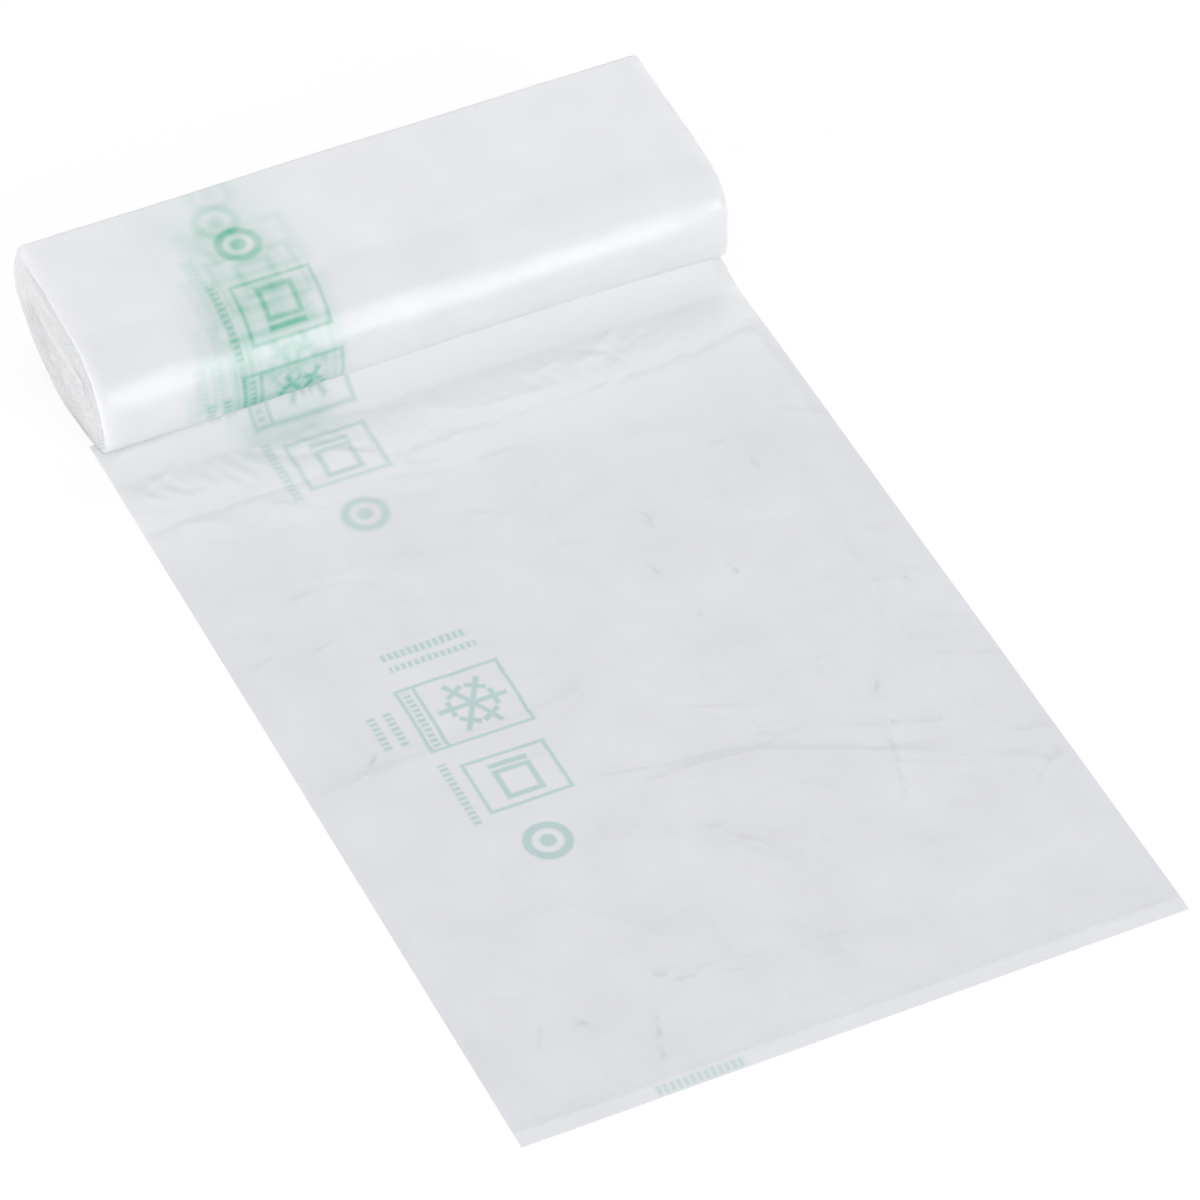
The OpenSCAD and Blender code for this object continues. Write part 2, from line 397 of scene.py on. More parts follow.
def wave_point(vertex, place):
    """Moves one point of the roll."""
    up_film, inside = place
    start = vertex.co.copy()
    side = 1 if start.x > 0 else -1
    from_rim = FILM_W / 2 - abs(start.x)
    outward = Vector((0, start.y - EYE.y, start.z - EYE.z)).normalized()
    stands_free = min(1.0, start.z / BEDDED)
    streak = Vector((start.x * 0.35, start.y, start.z))
    shift = SWELL * smooth_noise(start, SWELL_L, 3.0)
    shift += WAVE_DEPTH * bell(up_film, WAVES_AT, WAVES_REACH) * smooth_noise(streak, WAVE_ACROSS, 8.0)
    shift += CRINKLE * smooth_noise(start, CRINKLE_L, 14.0)
    pinch = bell(start.x, FILM_W / 2, PINCHED_L) * bell(up_film, SHOULDER, SHOULDER_REACH)
    share = min(1.0, math.dist((start.y, start.z), (EYE.y, EYE.z)) / PINCH_FULL)
    rounded = max(0.0, 1 - from_rim / ROUND_OVER_L) ** 2
    vertex.co += outward * ((shift - ROUND_OVER * rounded) * stands_free + SHOULDER_OUT * pinch * share)
    vertex.co.y += tucked_in(start.x) * bell(up_film, 0, TUCK_REACH)
    towards_left, towards_back = 0.5 - start.x / FILM_W, (start.y - ROLL_Y) / ROLL_D
    vertex.co.z -= BACK_SINK * towards_left * start.z / BACK_H * towards_back
    if inside < 1e-5 and from_rim < 1e-6:
        uneven = max(0.0, 0.2 + smooth_noise(start, RIM_WAVE_L, 17.0 + side))
        vertex.co.x -= side * (RIM_IN + RIM_UNEVEN[side] * uneven)
        vertex.co -= outward * RIM_DOWN * stands_free
    elif inside > 1e-5:
        depth = CRUMPLE * (0.45 + 0.5 * smooth_noise(start, CRUMPLE_L, 5.0 + side))
        depth += 0.35 * CRUMPLE * smooth_noise(start, CRUMPLE_L / 2.5, 12.0 + side)
        vertex.co.x -= side * max(0, depth) * min(1.0, inside / (4 * MM))
        vertex.co.y += WANDER * min(1.0, inside / MM) * smooth_noise(start, WANDER_L, 21.0)
        vertex.co.z += WANDER * min(1.0, inside / MM) * smooth_noise(start, WANDER_L, 31.0) * stands_free
    if side < 0:
        near_end = max(0.0, 1 - (from_rim + 0.8 * inside) / TOE_LENGTH)
        vertex.co.x += TOE_INSET * bell(min(up_film, ROUND_L - up_film), 0, TOE_REACH) * near_end


for vertex, place in zip(roll.data.vertices, roll_places):
    wave_point(vertex, place)
start_fresh()
roll.select_set(True)
bpy.context.view_layer.objects.active = roll
bpy.ops.object.shade_smooth_by_angle(angle=math.radians(55))
report(roll)

# %% [markdown]
# ## The flat sheet
#
# The first bag is a flattened tube: two plies of film that meet in a fold at each side and in a weld near the
# free end. A sheet this thin is best made in code: a grid for the upper ply, which shares its rim with one
# flat face for the lower ply. The upper ply carries what the photograph shows: slow waves, straight creases
# left by winding, sharp short folds, random crinkles, and puckers beside the weld and the perforation. Where
# the film reaches the roll it rises to the roll's lower edge, and its last stretch lies under the roll.
#
# A crease is a line of points, with the reach of its slopes and its height or depth. All of them are in
# millimetres, across the film from its middle and along it from the free end.

# %% Creases of the flat sheet, in mm across and along the film
CREASES = [
    ([(-109, 153), (-69, 157), (-52, 158), (-32, 159), (-16, 161)], 1.6, -0.35),
    ([(-16, 113), (3, 113), (22, 111), (56, 95), (101, 70)], 4.5, 0.5),
    ([(27, 120), (44, 117), (64, 107), (79, 101)], 1.4, -0.25),
    ([(60, 90), (78, 81)], 1.4, -0.25),
    ([(107, 76), (91, 63)], 1.5, -0.35),
    ([(-99, 80), (-71, 77), (-58, 76), (-50, 66), (-33, 46)], 4.0, -0.4),
    ([(-36, 102), (-16, 94)], 1.8, -0.25),
    ([(-8, 91), (14, 67)], 2.5, 0.3),
    ([(103, 278), (88, 213), (86, 175), (84, 137), (92, 86)], 7.0, 0.6),
    ([(11, 259), (4, 213), (3, 184)], 6.0, 0.3),
    ([(-107, 279), (-86, 282), (-72, 283)], 3.0, -0.35),
    ([(-106, 240), (-76, 235), (-43, 235)], 4.0, -0.3),
    ([(-107, 214), (-76, 211)], 3.0, -0.25),
    ([(-70, 33), (-33, 38), (0, 34), (30, 30)], 3.0, 0.25),
    ([(-110, 279), (40, 279), (72, 280), (110, 288)], 1.6, -0.12),
    ([(-8, 70), (10, 25)], 4.5, 0.3),
    ([(-65, 74), (-51, 63), (-37, 47)], 4.0, -0.3),
    ([(-22, 69), (-20, 36)], 4.0, 0.22),
    ([(-30, 126), (-11, 121), (18, 117)], 1.6, -0.15),
    ([(2, 84), (24, 74)], 1.5, -0.15),
    ([(37, 47), (44, 28)], 4.0, 0.25),
    ([(11, 256), (5, 227), (-3, 195)], 6.0, 0.25),
    ([(67, 251), (72, 228)], 4.0, 0.22),
    ([(-108, 216), (-70, 213)], 2.5, -0.2),
    ([(-104, 246), (-90, 236)], 4.0, -0.25),
    ([(48, 277), (74, 286)], 4.0, 0.2),
]
SHORT_FOLDS = [
    [(69, 124), (67, 120)], [(61, 101), (55, 77)], [(-86, 39), (-89, 32)], [(-52, 31), (-58, 13)],
    [(-75, 36), (-73, 34)], [(36, 219), (36, 215)], [(27, 197), (28, 193)], [(50, 188), (51, 184)],
    [(32, 172), (33, 169)], [(-90, 154), (-84, 159)], [(64, 108), (65, 106)], [(-46, 43), (-45, 41)],
    [(25, 72), (26, 70)], [(55, 137), (56, 135)], [(97, 159), (97, 157)], [(77, 226), (78, 224)],
]
CREASE_RELIEF, FOLD_REACH, FOLD_RELIEF = 3.0, 0.9, 0.6
CRINKLE_COUNT, CRINKLE_RELIEF = 130, 0.45
CREASES = [(line, reach, CREASE_RELIEF * height) for line, reach, height in CREASES]
CREASES += [(line, FOLD_REACH, FOLD_RELIEF) for line in SHORT_FOLDS]
crinkles = random.Random(5)
for _ in range(CRINKLE_COUNT):
    x, s = crinkles.uniform(-104, 104), 300 - 290 * crinkles.random() ** 1.5
    angle, length = crinkles.uniform(-0.7, 0.7), crinkles.uniform(6, 26)
    end = (x + length * math.cos(angle), s + length * math.sin(angle))
    CREASES.append(([(x, s), end], crinkles.uniform(0.9, 2.4), crinkles.choice((-1, 1)) * CRINKLE_RELIEF))
print("creases and crinkles:", len(CREASES))

# %% Height of the upper ply over the ground
GROUND_GAP, LEAST_GAP = 0.06 * MM, 0.12 * MM
PLY_GAP = 0.4 * MM
WAVE, WAVE_L = 0.7 * MM, 46 * MM
GRAIN, GRAIN_L = 0.06 * MM, 4 * MM
PUCKER, PUCKER_W, GATHER_L = 0.5 * MM, 3.8 * MM, 34 * MM
WELD_SINK, WELD_REACH = 0.4 * MM, 0.9
TEAR_SINK, TEAR_REACH = 0.2 * MM, 1.2
EDGE_REACH = 5 * MM
# Painted shade along the short folds: its strength, its reach in mm and the length of its break-up.
PAINTED_FOLD_SHADE, PAINTED_FOLD_SHADE_REACH, PAINTED_FOLD_SHADE_BREAK = 0.32, 0.8, 3.0
RISE_FROM, RISE_TO, RISE_END, RISE_POWER = 295.0, 310.5, (314, 320), 2.6
RISEN = [(-110, 1.5), (-100, 4.5), (-60, 6.5), (0, 9.0), (60, 10.2), (92, 10.0), (110, 8.0)]


def from_line(x, s, line):
    """Distance in mm from points of the film, given as arrays, to a line of points."""
    closest = np.full(x.shape, 1e9)
    for (ax, ay), (bx, by) in zip(line, line[1:]):
        dx, dy = bx - ax, by - ay
        along = np.clip(((x - ax) * dx + (s - ay) * dy) / (dx * dx + dy * dy), 0, 1)
        closest = np.minimum(closest, np.hypot(x - ax - along * dx, s - ay - along * dy))
    return closest


def crease_heights(x, s):
    """What the creases add at points of the film, in mm. A crease is sharp in its middle."""
    total = np.zeros(x.shape)
    for line, reach, height in CREASES:
        total += height * np.exp(-from_line(x, s, line) / reach)
    return total


def paint_fold_shade(x, s):
    """Painted shade along the short folds at points of the film, from 0 to 1, broken up by noise."""
    total = np.zeros(x.shape)
    for line in SHORT_FOLDS:
        total += PAINTED_FOLD_SHADE * np.exp(-(from_line(x, s, line) / PAINTED_FOLD_SHADE_REACH) ** 2)
    broken = [max(0.0, 0.5 + 1.6 * smooth_noise((a, b, 0), PAINTED_FOLD_SHADE_BREAK, 25.0)) for a, b in zip(x, s)]
    return np.clip(total * np.array(broken), 0, 1)


def ply_height(x, s, creased):
    """Height of the upper ply at a place of the film, in metres, with the creases' share in mm."""
    wave = 0.5 + 0.5 * smooth_noise((x, s, 0), WAVE_L, 2.0) + 0.3 * smooth_noise((x, s, 0), WAVE_L / 3, 6.0)
    s_mm = s / MM
    height = PLY_GAP + WAVE * wave + creased * MM
    from_chin = (s - tucked_in(x)) / MM
    risen = min(1.0, max(0.0, (from_chin - RISE_FROM) / (RISE_TO - RISE_FROM))) ** RISE_POWER
    risen *= float(np.interp(from_chin, RISE_END, (1, 0)))
    height += float(np.interp(x / MM, *zip(*RISEN))) * MM * risen
    beside_tear, beside_weld = bell(s_mm, 293, 12), 0.8 * bell(s_mm, 8, 5)
    gathered = 0.35 + 0.65 * max(0.0, 0.4 + 0.9 * smooth_noise((x, 0, 0), GATHER_L, 4.0) - x / FILM_W)
    puckered = smooth_noise((x + 0.5 * s, s * 0.35, 0), PUCKER_W, 9.0)
    height += PUCKER * gathered * (beside_tear + beside_weld) * puckered
    height += GRAIN * smooth_noise((x, s, 0), GRAIN_L, 16.0)
    height -= (WELD_SINK * bell(s_mm, WELD_IN / MM, WELD_REACH)
               + TEAR_SINK * bell(s_mm, BAG_L / MM, TEAR_REACH))
    side = min(1.0, (FILM_W / 2 - abs(x)) / EDGE_REACH)
    end = min(1.0, 0.25 + s / EDGE_REACH)
    return GROUND_GAP + max(LEAST_GAP, height * (0.3 + 0.7 * side) * end)


# %% Two plies joined at their rim
CELL = 1.0 * MM
TUCK_L = 14 * MM


def make_sheet(name, width, length):
    """A flat closed sheet: an upper ply of small cells and one flat lower ply, with a shared rim."""
    across, along = round(width / CELL), round(length / CELL)
    stride = across + 1
    columns, rows = np.meshgrid(np.arange(stride), np.arange(along + 1))
    xs, ss = (-width / 2 + width * columns / across).ravel(), (length * rows / along).ravel()
    creased = crease_heights(xs / MM, ss / MM)
    painted_fold_shade = paint_fold_shade(xs / MM, ss / MM)
    places = [(float(x), float(s)) for x, s in zip(xs, ss)]
    points = [(x, FREE_Y + s, ply_height(x, s, added)) for (x, s), added in zip(places, creased)]
    faces = []
    for row in range(along):
        for column in range(across):
            a = row * stride + column
            faces.append((a, a + 1, a + stride + 1, a + stride))
    rim = list(range(across))
    rim += [row * stride + across for row in range(along)]
    rim += [along * stride + column for column in range(across, 0, -1)]
    rim += [row * stride for row in range(along, 0, -1)]
    lower = list(range(len(points), len(points) + len(rim)))
    points += [(points[index][0], points[index][1], GROUND_GAP) for index in rim]
    places += [places[index] for index in rim]
    for index, here in enumerate(rim):
        following = (index + 1) % len(rim)
        faces.append((here, lower[index], lower[following], rim[following]))
    faces.append(tuple(reversed(lower)))
    mesh = bpy.data.meshes.new(name)
    mesh.from_pydata(points, [], faces)
    # The shade painted along the short folds rides on the points as an attribute, zero on the lower rim.
    fold_shade_paint = mesh.attributes.new("fold_shade_paint", "FLOAT", "POINT")
    fold_shade_paint.data.foreach_set("value", list(painted_fold_shade) + [0.0] * len(rim))
    uv = mesh.uv_layers.new(name="film")
    for loop in mesh.loops:
        uv.data[loop.index].uv = places[loop.vertex_index]
    mesh.update()
    piece = bpy.data.objects.new(name, mesh)
    bpy.context.collection.objects.link(piece)
    return piece


SHEET_L = PULLED_L + TUCK_L
sheet = make_sheet("film_sheet", FILM_W, SHEET_L)
start_fresh()
sheet.select_set(True)
bpy.context.view_layer.objects.active = sheet
bpy.ops.object.shade_smooth_by_angle(angle=math.radians(50))
report(sheet)

# %% [markdown]
# ## Finishes
#
# Both pieces are HDPE, the milky polythene that rustles. Light goes in, scatters and comes out again, so it
# looks like thin white paper with a soft gloss. One ply lets the ground show through a little, and the wound
# roll, with hundreds of plies, doesn't. The print is green ink on the film. On the flat sheet it is seen
# once. On the roll the next turns show through, each paler and softer than the last.

# %% Colours and one node helper
def linear(hex_colour):
    """Linear colour, with full alpha, of an sRGB hex value."""
    channels = [int(hex_colour[i:i + 2], 16) / 255 for i in (1, 3, 5)]
    bent = [c / 12.92 if c <= 0.04045 else ((c + 0.055) / 1.055) ** 2.4 for c in channels]
    return (*bent, 1.0)


def add_node(tree, kind, inputs=None, **settings):
    """Adds a node, sets its properties, fills its inputs with values or links, and returns it."""
    made = tree.nodes.new(kind)
    for name, value in settings.items():
        setattr(made, name, value)
    for socket, value in (inputs or {}).items():
        if isinstance(value, bpy.types.NodeSocket):
            tree.links.new(value, made.inputs[socket])
        else:
            made.inputs[socket].default_value = value
    return made


# %% [markdown]
# ### Printed marks
#
# Each mark is drawn as a distance: how far, in millimetres, a point of the film is from the nearest inked
# edge, below zero inside the ink. Distances combine well. The smaller of two draws both marks, and one soft
# threshold at the end gives a crisp line for the top film and a blurred one for the turns below it. The marks
# are plain ones: a ring, a pouch in a frame, a snow star in a frame, and rows of dashes.

# %% Distances to simple shapes
LINE = 1.0


def box_distance(tree, place, middle, size):
    """Distance to a filled box."""
    moved = add_node(tree, "ShaderNodeVectorMath", {0: place, 1: (*middle, 0)}, operation="SUBTRACT")
    apart = add_node(tree, "ShaderNodeVectorMath", {0: moved.outputs[0]}, operation="ABSOLUTE")
    beyond = add_node(tree, "ShaderNodeVectorMath", {0: apart.outputs[0], 1: (size[0] / 2, size[1] / 2, 0)},
                      operation="SUBTRACT")
    split = add_node(tree, "ShaderNodeSeparateXYZ", {0: beyond.outputs[0]})
    return add_node(tree, "ShaderNodeMath", {0: split.outputs[0], 1: split.outputs[1]},
                    operation="MAXIMUM").outputs[0]


def outline_distance(tree, filled, width=LINE):
    """Distance to the line round a filled shape."""
    edge = add_node(tree, "ShaderNodeMath", {0: filled}, operation="ABSOLUTE")
    return add_node(tree, "ShaderNodeMath", {0: edge.outputs[0], 1: width / 2},
                    operation="SUBTRACT").outputs[0]


def disc_distance(tree, place, middle, radius):
    """Distance to a filled disc."""
    far = add_node(tree, "ShaderNodeVectorMath", {0: place, 1: (*middle, 0)}, operation="DISTANCE")
    return add_node(tree, "ShaderNodeMath", {0: far.outputs["Value"], 1: radius},
                    operation="SUBTRACT").outputs[0]


def dashes_distance(tree, place, middle, size, pitch=2.2, upright=False):
    """Distance to a row of dashes, or a column of them, as wide as the box that holds it."""
    split = add_node(tree, "ShaderNodeSeparateXYZ", {0: place})
    along = split.outputs["Y" if upright else "X"]
    swing = add_node(tree, "ShaderNodeMath", {0: along, 1: pitch / 2}, operation="PINGPONG")
    dash = add_node(tree, "ShaderNodeMath", {0: swing.outputs[0], 1: 0.3 * pitch}, operation="SUBTRACT")
    whole = box_distance(tree, place, middle, size)
    return add_node(tree, "ShaderNodeMath", {0: dash.outputs[0], 1: whole}, operation="MAXIMUM").outputs[0]


def nearest(tree, distances):
    """The smallest of several distances, which draws all their shapes."""
    found = distances[0]
    for other in distances[1:]:
        found = add_node(tree, "ShaderNodeMath", {0: found, 1: other}, operation="MINIMUM").outputs[0]
    return found


# %% The marks, with the ring's centre at the origin
def snow_star(tree, place, middle, radius):
    """Distances to three crossed bars and the six short ones that cross their arms."""
    found = []
    centred = add_node(tree, "ShaderNodeVectorMath", {0: place, 1: (*middle, 0)}, operation="SUBTRACT")
    for angle in (0, 60, 120):
        turned = add_node(tree, "ShaderNodeVectorRotate",
                          {"Vector": centred.outputs[0], "Angle": math.radians(angle)},
                          rotation_type="Z_AXIS").outputs[0]
        found.append(box_distance(tree, turned, (0, 0), (2 * radius, 1.8 * LINE)))
        mirrored = add_node(tree, "ShaderNodeVectorMath", {0: turned}, operation="ABSOLUTE").outputs[0]
        found.append(box_distance(tree, mirrored, (0.62 * radius, 0), (1.8 * LINE, 0.6 * radius)))
    return found


def marks_group(name, wanted):
    """A node group that turns a place on the film, in mm, into the distance to the wanted marks."""
    group = bpy.data.node_groups.new(name, "ShaderNodeTree")
    group.interface.new_socket("Place", in_out="INPUT", socket_type="NodeSocketVector")
    group.interface.new_socket("Distance", in_out="OUTPUT", socket_type="NodeSocketFloat")
    place = add_node(group, "NodeGroupInput").outputs["Place"]
    found = []
    if "ring" in wanted:
        ring = disc_distance(group, place, (0, 0), 6.4)
        found.append(outline_distance(group, ring, 2.8))
        found.append(disc_distance(group, place, (0, 0), 2.6))
    if "pouch" in wanted:
        found.append(outline_distance(group, box_distance(group, place, (2.95, 28.2), (27, 21.4)), 1.2))
        found.append(outline_distance(group, box_distance(group, place, (2.8, 26.7), (11, 11)), 1.9))
        found.append(box_distance(group, place, (2.8, 35), (13, 2.0)))
        found.append(dashes_distance(group, place, (-16.2, 28), (2.6, 28), upright=True))
    if "star" in wanted:
        found.append(outline_distance(group, box_distance(group, place, (0.95, 62), (34, 27.7)), 1.2))
        found.append(outline_distance(group, box_distance(group, place, (-13.2, 62), (5.6, 27.7)), 1.2))
        found.append(dashes_distance(group, place, (-13.4, 62), (2.4, 25), upright=True))
        found += snow_star(group, place, (3.8, 62), 11.5)
        for x in (-22.3, -27.8):
            found.append(dashes_distance(group, place, (x, 61.5), (2.6, 15), upright=True))
    if "rows" in wanted:
        for middle, size in (((1, 85.3), (29, 2.4)), ((0.3, 90.8), (28.5, 3.2))):
            found.append(dashes_distance(group, place, middle, size))
    add_node(group, "NodeGroupOutput", {"Distance": nearest(group, found)})
    return group


all_marks = marks_group("printed_marks", ("ring", "pouch", "star", "rows"))
row_marks = marks_group("printed_rows", ("rows",))
print("nodes that draw the marks:", len(all_marks.nodes))


# %% Ink of one film at a place on it
def ink_layer(tree, place, origin, softness, strength, group=all_marks, flip=False):
    """How much ink shows, from 0 to strength, with the marks' ring at origin and edges as soft as given."""
    sign = -1 if flip else 1
    local = add_node(tree, "ShaderNodeVectorMath",
                     {0: place, 1: (1, sign, 0), 2: (-origin[0], -sign * origin[1], 0)},
                     operation="MULTIPLY_ADD")
    marks = add_node(tree, "ShaderNodeGroup", {}, node_tree=group)
    tree.links.new(local.outputs[0], marks.inputs["Place"])
    shown = add_node(tree, "ShaderNodeMapRange",
                     {"Value": marks.outputs["Distance"], "From Min": softness, "From Max": -softness,
                      "To Min": 0.0, "To Max": strength}, interpolation_type="SMOOTHSTEP")
    return shown.outputs["Result"]


def soft_patch(tree, place, middle, size, softness, strength):
    """A blurred field of ink, from deep turns whose marks can't be told apart."""
    far = box_distance(tree, place, middle, size)
    return add_node(tree, "ShaderNodeMapRange",
                    {"Value": far, "From Min": softness, "From Max": -softness, "To Min": 0.0,
                     "To Max": strength}, interpolation_type="SMOOTHSTEP").outputs["Result"]


def summed(tree, values):
    """The sum of several values, held at 1."""
    total = values[0]
    for value in values[1:]:
        total = add_node(tree, "ShaderNodeMath", {0: total, 1: value}, operation="ADD",
                         use_clamp=True).outputs[0]
    return total


def blend(tree, share, first, second):
    """A colour between two, which are sockets or linear colours."""
    mix = add_node(tree, "ShaderNodeMix", {"Factor": share, "A": first, "B": second}, data_type="RGBA")
    return mix.outputs["Result"]


# %% [markdown]
# ### Film on the flat sheet
#
# HDPE has an IOR of about 1.54, and blown film has a satin surface with a roughness near 0.3. Two plies cover
# about three quarters of what is under them. Fine cloudiness, in patches 24 mm wide, varies the film's colour
# by a few steps, and a bump of 2.4 mm stands for its rustle. Towards the roll the film is painted whiter, as
# painted light against the shade that the roll casts there, and beyond the weld it turns whiter. A grey line
# is painted along each sharp short fold as its shade. Only a band of the film is printed, so the faces in
# that band get a material with the marks, and the rest get the same film without them, which renders faster.

# %% HDPE film, two plies
FILM_IOR = 1.54
CLOUD_SCALE, RUSTLE_SCALE = 1 / 24, 1 / 2.4
RING_X, RING_S, RING_STEP = -51.5, 105.6, 151.0
PRINT_BAND = (-92 * MM, -10 * MM)
MILK = ("#E4E5EA", "#EFF0F5")
# White of the film beyond the weld, also used as painted light on the film towards the roll.
WHITE_FILM_AND_PAINTED_LIGHT = "#FBFDFF"
# Grey of the shade painted along the short folds, standing in for their shadows.
PAINTED_FOLD_SHADE_GREY = "#B4BBBE"
INK = linear("#62B9AD")


def film_material(name, dull, bright):
    """A new film material, its tree and shader, the place on the film and its milky colour."""
    material = bpy.data.materials.new(name)
    material.use_nodes = True
    tree = material.node_tree
    shader = tree.nodes["Principled BSDF"]
    shader.inputs["Roughness"].default_value = 0.28
    shader.inputs["IOR"].default_value = FILM_IOR
    uv = add_node(tree, "ShaderNodeUVMap", uv_map="film")
    place = add_node(tree, "ShaderNodeVectorMath", {0: uv.outputs[0], "Scale": 1 / MM}, operation="SCALE")
    cloud = add_node(tree, "ShaderNodeTexNoise", {"Vector": place.outputs[0], "Scale": CLOUD_SCALE,
                                                  "Detail": 2.0}, noise_dimensions="2D")
    rustle = add_node(tree, "ShaderNodeTexNoise", {"Vector": place.outputs[0], "Scale": RUSTLE_SCALE},
                      noise_dimensions="2D")
    bump = add_node(tree, "ShaderNodeBump", {"Height": rustle.outputs["Fac"], "Strength": 0.14,
                                             "Distance": 0.2 * MM})
    tree.links.new(bump.outputs[0], shader.inputs["Normal"])
    milk = blend(tree, cloud.outputs["Fac"], linear(dull), linear(bright))
    return material, tree, shader, place.outputs[0], milk


def sheet_film(name, printed):
    """HDPE blown film: milky and even, with a satin gloss; two plies let the ground show through."""
    material, tree, shader, place, colour = film_material(name, *MILK)
    split = add_node(tree, "ShaderNodeSeparateXYZ", {0: place})
    # Painted light: towards the roll the film is painted whiter, to lift the shade that the roll casts on it.
    painted_light_near_roll = add_node(tree, "ShaderNodeMapRange", {"Value": split.outputs["Y"], "From Min": 245.0,
                                                      "From Max": 306.0}, interpolation_type="SMOOTHSTEP")
    colour = blend(tree, painted_light_near_roll.outputs["Result"], colour, linear(WHITE_FILM_AND_PAINTED_LIGHT))
    skirt = add_node(tree, "ShaderNodeMapRange", {"Value": split.outputs["Y"], "From Min": 6.0,
                                                  "From Max": 4.6, "To Max": 0.35})
    colour = blend(tree, skirt.outputs["Result"], colour, linear(WHITE_FILM_AND_PAINTED_LIGHT))
    # Painted shade: a grey line along each short fold stands in for the fold's shadow.
    fold_shade_paint = add_node(tree, "ShaderNodeAttribute", attribute_name="fold_shade_paint")
    colour = blend(tree, fold_shade_paint.outputs["Fac"], colour, linear(PAINTED_FOLD_SHADE_GREY))
    if printed:
        layers = [
            ink_layer(tree, place, (RING_X, RING_S), 0.55, 0.52),
            ink_layer(tree, place, (RING_X + 8, RING_S + RING_STEP), 1.2, 0.42),
            ink_layer(tree, place, (RING_X, -88.5), 0.7, 0.36, row_marks),
            # A blurred green patch on the film just in front of the roll's lower edge.
            soft_patch(tree, place, (-50, 303), (26, 6), 9, 0.34),
        ]
        colour = blend(tree, summed(tree, layers), colour, INK)
    tree.links.new(colour, shader.inputs["Base Color"])
    shader.inputs["Alpha"].default_value = 0.72
    return material


def give_films(piece, plain, printed):
    """Gives the faces in the printed band the film with marks and all others the plain film."""
    piece.data.materials.append(plain)
    piece.data.materials.append(printed)
    left, right = PRINT_BAND
    count = 0
    for face in piece.data.polygons:
        if left < face.center.x < right and face.normal.z > -0.5:
            face.material_index = 1
            count += 1
    print(piece.name, "faces in the printed band:", count)


give_films(sheet, sheet_film("hdpe_film_two_plies", False), sheet_film("hdpe_film_two_plies_printed", True))

# %% [markdown]
# ### Film on the roll
#
# The roll is the same film many turns deep. It is whiter and opaque, and light spreads inside it, which
# softens the marks and the crumpled ends. The marks run the other way here, because the film has turned over.

# %% HDPE film, wound
ROLL_RING = 71.3
TURNS_BELOW = [
    (0, 0, 0.9, 0.37),
    (-2.5, 12.5, 2.2, 0.25),
    (0.5, 25, 3.6, 0.17),
    (-6, 4, 3.4, 0.18),
]
WOUND_MILK = ("#E0E1E5", "#E9EAED")
DEEP_INK = linear("#3DB091")


def roll_film(name, printed):
    """HDPE blown film, wound: opaque and white, with a soft glow at its edges."""
    material, tree, shader, place, colour = film_material(name, *WOUND_MILK)
    if printed:
        # A wide blurred haze of the print below, and a blurred green patch just above the roll's lower edge.
        layers = [soft_patch(tree, place, (-50, 55), (34, 70), 20, 0.16),
                  soft_patch(tree, place, (-50, 9), (30, 8), 8, 0.42)]
        for shift, climb, softness, strength in TURNS_BELOW:
            origin = (RING_X + 6.3 + shift, ROLL_RING + climb)
            layers.append(ink_layer(tree, place, origin, softness, strength, flip=True))
        colour = blend(tree, summed(tree, layers), colour, DEEP_INK)
    tree.links.new(colour, shader.inputs["Base Color"])
    shader.subsurface_method = "BURLEY"
    shader.inputs["Subsurface Weight"].default_value = 0.5
    shader.inputs["Subsurface Radius"].default_value = (1.0, 0.97, 0.94)
    shader.inputs["Subsurface Scale"].default_value = 5 * MM
    return material


give_films(roll, roll_film("hdpe_film_wound", False), roll_film("hdpe_film_wound_printed", True))

# %% [markdown]
# ### The ends of the turns
#
# The ends show the edges of hundreds of turns, crumpled and full of air, so they scatter more light than the
# smooth side and look like packed snow. The pattern has no film to follow there, so it uses the piece's own
# coordinates.

# %% HDPE film, turn edges
edges = bpy.data.materials.new("hdpe_film_turn_edges")
edges.use_nodes = True
tree = edges.node_tree
shader = tree.nodes["Principled BSDF"]
own = add_node(tree, "ShaderNodeTexCoord").outputs["Object"]
patches = add_node(tree, "ShaderNodeTexNoise", {"Vector": own, "Scale": 1 / (7 * MM), "Detail": 5.0})
folds = add_node(tree, "ShaderNodeTexNoise", {"Vector": own, "Scale": 1 / (3 * MM), "Detail": 3.0,
                                              "Distortion": 1.2})
fold_bump = add_node(tree, "ShaderNodeBump", {"Height": folds.outputs["Fac"], "Strength": 0.3,
                                              "Distance": 0.5 * MM})
tree.links.new(fold_bump.outputs[0], shader.inputs["Normal"])
tree.links.new(blend(tree, patches.outputs["Fac"], linear("#E9EAED"), linear("#FAFAFB")),
               shader.inputs["Base Color"])
shader.inputs["Roughness"].default_value = 0.45
shader.inputs["IOR"].default_value = FILM_IOR
shader.inputs["Subsurface Weight"].default_value = 0.8
shader.inputs["Subsurface Radius"].default_value = (1.0, 0.98, 0.96)
shader.inputs["Subsurface Scale"].default_value = 5 * MM
roll.data.materials.append(edges)
for face in roll.data.polygons:
    if all(FILM_W / 2 - abs(roll.data.vertices[index].co.x) < 8 * MM and roll_places[index][1] > 1e-5
           for index in face.vertices):
        face.material_index = 2

# %% [markdown]
# ## The stage
#
# A plain pale floor, a narrow soft light in front of the roll for the highlight on its shoulder, a wide one
# close to the ground for the roll's lower front, one on the left for its end and one behind for its top, and
# an even sky. What the camera sees of the floor is partly its own white, so the background stays white and
# the soft shadow still shows.

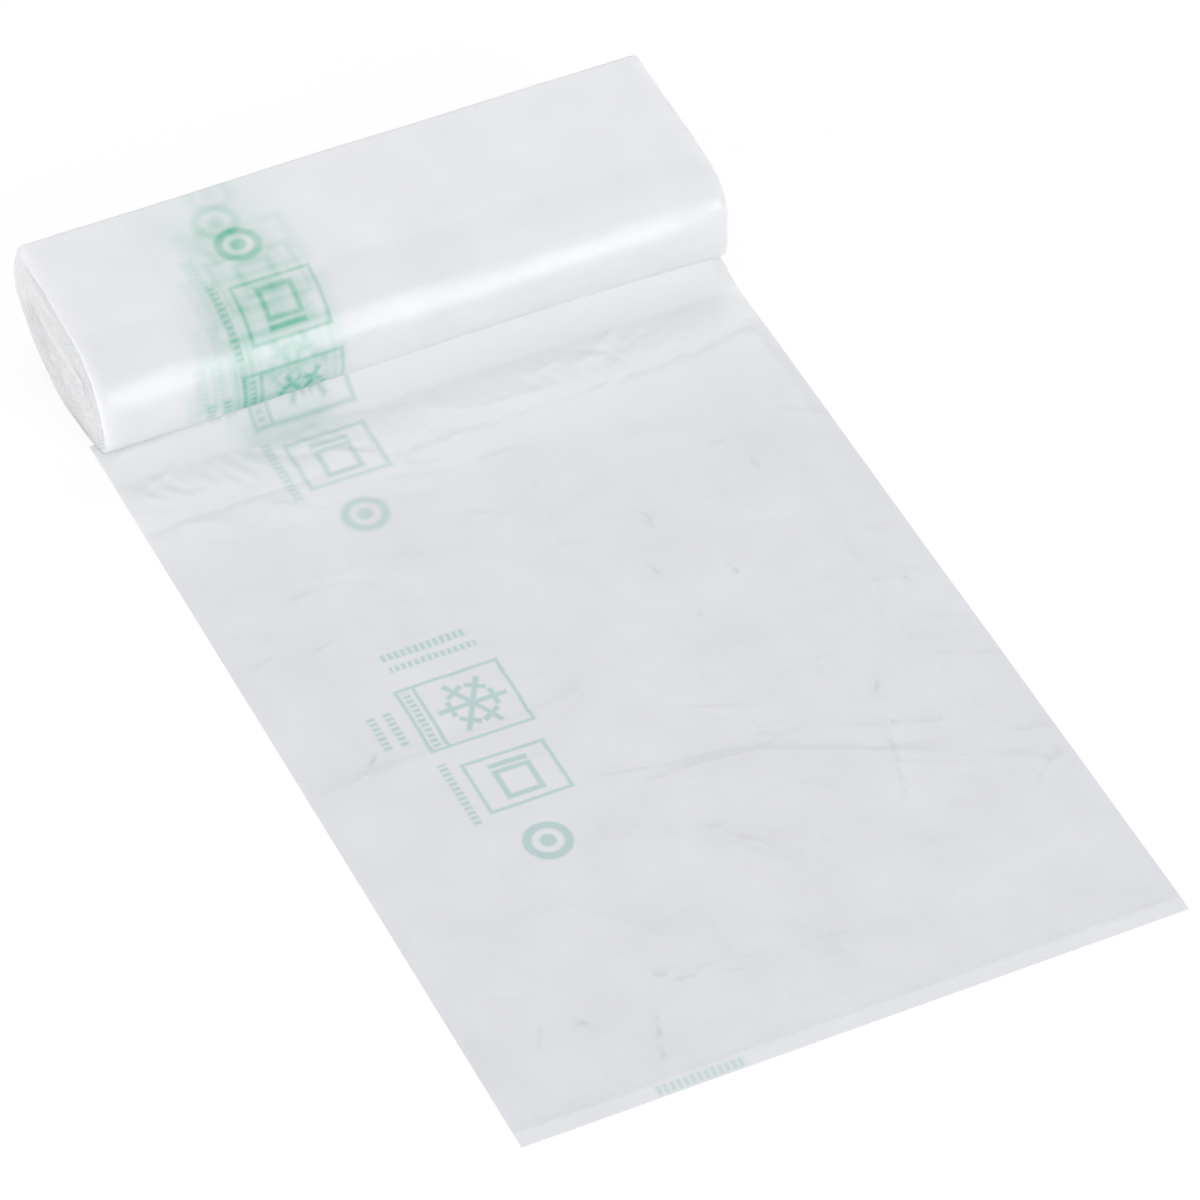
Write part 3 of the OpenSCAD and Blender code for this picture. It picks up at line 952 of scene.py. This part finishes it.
# %% Floor
start_fresh()
bpy.ops.mesh.primitive_plane_add(size=8)
floor = bpy.context.object
floor.name = "floor"
paper = bpy.data.materials.new("studio_paper")
paper.use_nodes = True
tree = paper.node_tree
shader = tree.nodes["Principled BSDF"]
shader.inputs["Base Color"].default_value = linear("#F4F4F4")
shader.inputs["Roughness"].default_value = 0.9
rays = add_node(tree, "ShaderNodeLightPath")
seen_directly = summed(tree, [rays.outputs[name] for name in
                              ("Is Camera Ray", "Is Glossy Ray", "Is Transmission Ray")])
share = add_node(tree, "ShaderNodeMath", {0: seen_directly, 1: 0.75}, operation="MULTIPLY")
white = add_node(tree, "ShaderNodeEmission", {"Color": (1, 1, 1, 1), "Strength": 1.06})
mixed = add_node(tree, "ShaderNodeMixShader",
                 {0: share.outputs[0], 1: shader.outputs[0], 2: white.outputs[0]})
tree.links.new(mixed.outputs[0], tree.nodes["Material Output"].inputs["Surface"])
floor.data.materials.append(paper)

# %% Lights and sky
def add_light(name, azimuth, elevation, distance, size, power):
    """A soft rectangular light that looks at the roll from an azimuth and an elevation."""
    bpy.ops.object.light_add(type="AREA")
    light = bpy.context.object
    light.name = name
    light.data.shape = "RECTANGLE"
    light.data.size, light.data.size_y = size
    light.data.energy = power
    facing = (Matrix.Rotation(math.radians(azimuth), 4, "Z")
              @ Matrix.Rotation(math.radians(90 - elevation), 4, "X"))
    light.matrix_world = facing @ Matrix.Translation((0, 0, distance))


add_light("front_softbox", 19, 20.5, 2.2, (0.8, 1.1), 11.5)
add_light("low_softbox", 10, 6, 2.2, (3.0, 0.45), 7)
add_light("left_softbox", -80, 18, 2.2, (1.6, 1.0), 11)
add_light("back_softbox", 160, 42, 2.2, (2.4, 1.2), 11)
sky = bpy.data.worlds.new("studio_sky")
sky.use_nodes = True
sky.node_tree.nodes["Background"].inputs["Color"].default_value = (1, 1, 1, 1)
sky.node_tree.nodes["Background"].inputs["Strength"].default_value = 0.67
bpy.context.scene.world = sky
bpy.context.scene.view_settings.view_transform = "Standard"

# %% [markdown]
# ## Hand over to the frame
#
# Both pieces stand for the one wound film of the frame and ride on its only body.

# %% Ride and replace
for piece in (roll, sheet):
    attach(piece, "root")
    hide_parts("bag_roll")
